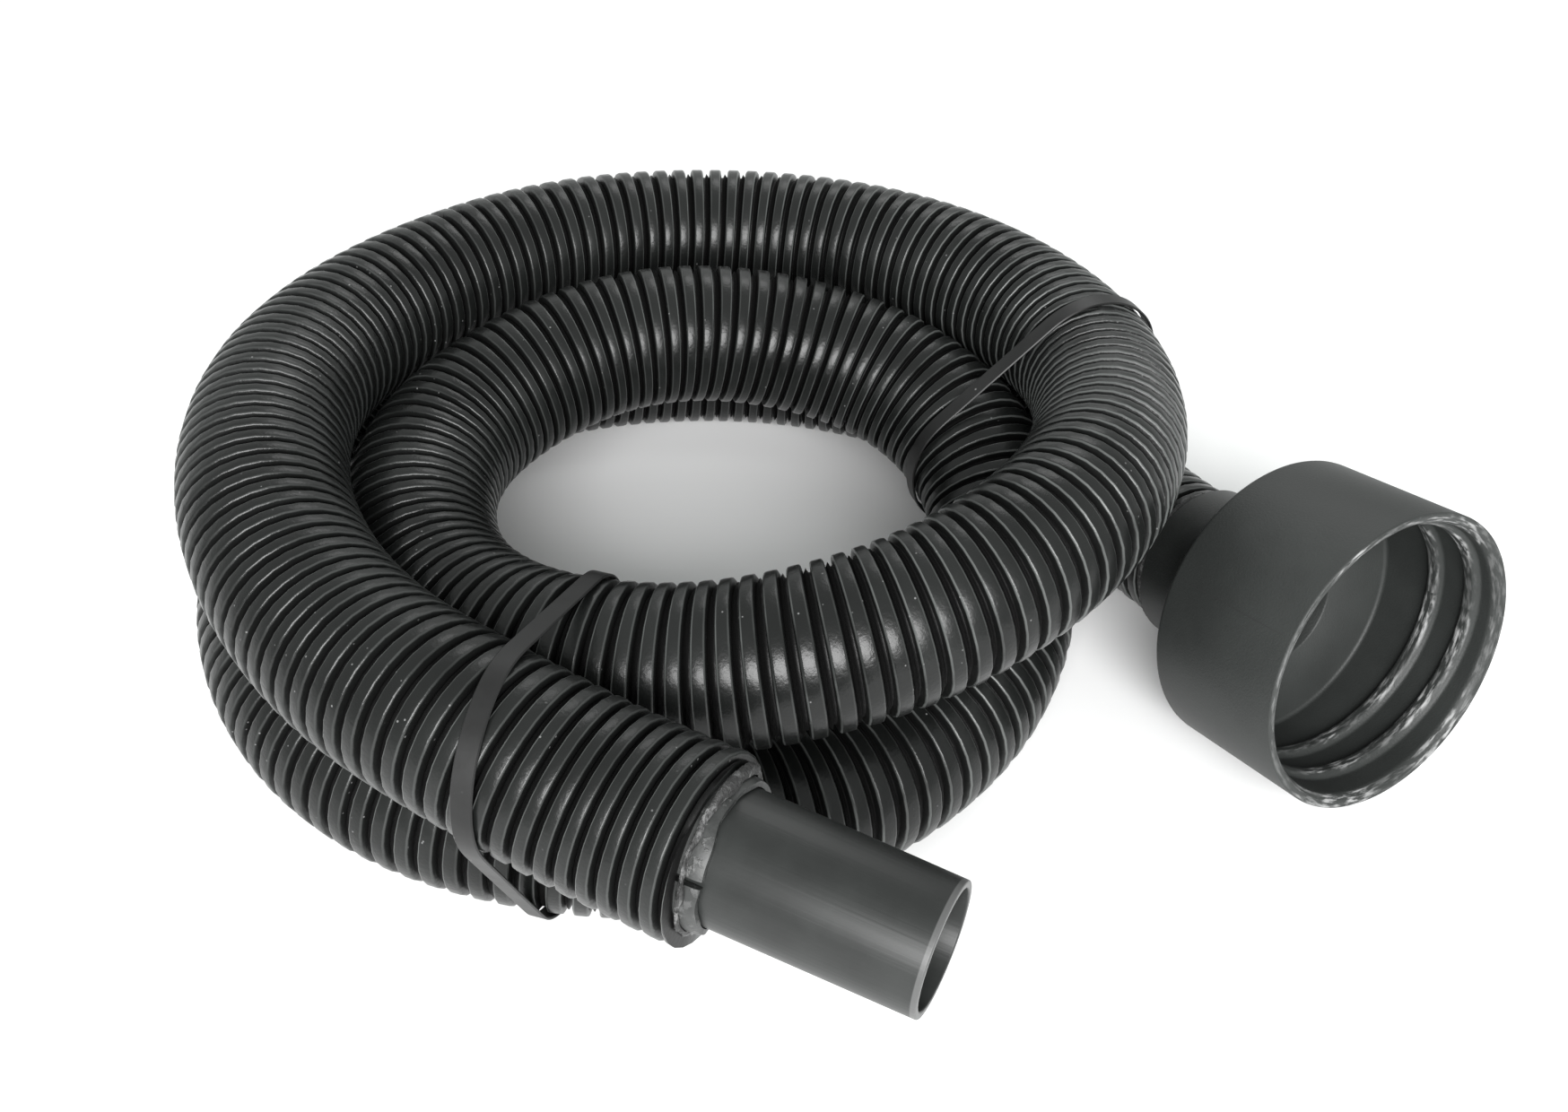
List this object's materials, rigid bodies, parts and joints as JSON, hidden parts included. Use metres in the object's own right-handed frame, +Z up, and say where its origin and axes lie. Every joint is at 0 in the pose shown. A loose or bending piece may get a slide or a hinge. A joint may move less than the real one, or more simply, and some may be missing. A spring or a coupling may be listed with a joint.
{
  "type": "vacuum hose",
  "caption": "Coiled corrugated vacuum hose with a plain nozzle pipe at one end and a large internally threaded cap at the other, held by cable ties.",
  "frame": {"origin": "on the floor, under the middle of the part's box", "axes": "+Z up; +X the way the threaded cap faces, seen from above; the nozzle pipe is at the front right (+X, -Y) and the cap at the back right (+X, +Y)"},
  "size_m": [0.3343, 0.3343, 0.1086],
  "materials": {
    "hose_plastic": "satin black corrugated tube",
    "pipe_plastic": "smooth dark grey pipe, soft sheen",
    "sleeve_plastic": "dark grey, dull",
    "nozzle_glue": "dried glue, uneven",
    "cap_plastic": "matte dark grey moulding",
    "cap_glue": "dried glue, uneven",
    "front_tie_nylon": "black nylon, slight sheen",
    "back_tie_nylon": "black nylon, slight sheen"
  },
  "bodies": {
    "root": {"hose": "hose_plastic", "nozzle_pipe": "pipe_plastic", "nozzle_sleeve": "sleeve_plastic", "nozzle_glue": "nozzle_glue", "threaded_cap": "cap_plastic", "cap_glue": "cap_glue", "front_tie": "front_tie_nylon", "back_tie": "back_tie_nylon"}
  },
  "joints": []
}
